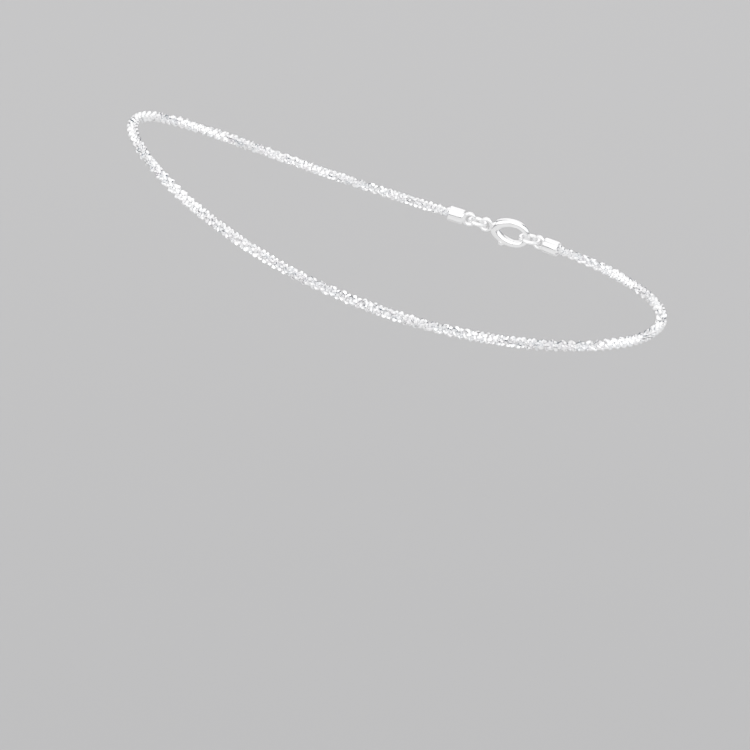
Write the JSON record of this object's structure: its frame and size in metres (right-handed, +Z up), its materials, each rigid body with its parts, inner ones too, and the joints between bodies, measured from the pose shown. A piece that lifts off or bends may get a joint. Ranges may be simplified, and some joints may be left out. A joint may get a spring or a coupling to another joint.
{
  "type": "payal anklet",
  "caption": "Worn ankle chain: a closed loop of fine, slowly twisting sparkle links, high over the instep and low behind the heel, with end caps, rings and a claw clasp.",
  "frame": {"origin": "middle of the loop, on the axis of the ankle that it goes round, half way between its instep and heel ends", "axes": "+X towards the heel, -X towards the instep, +Y to the side of the leg that carries the clasp, +Z up the leg"},
  "size_m": [0.0918, 0.0648, 0.0354],
  "materials": {
    "silver_chain": "bright diamond-cut silver",
    "silver_fittings": "polished silver"
  },
  "bodies": {
    "root": {"sparkle_chain": "silver_chain", "instep_end_cap": "silver_fittings", "heel_end_cap": "silver_fittings", "link_ring": "silver_fittings", "catch_ring": "silver_fittings", "clasp": "silver_fittings"}
  },
  "joints": []
}
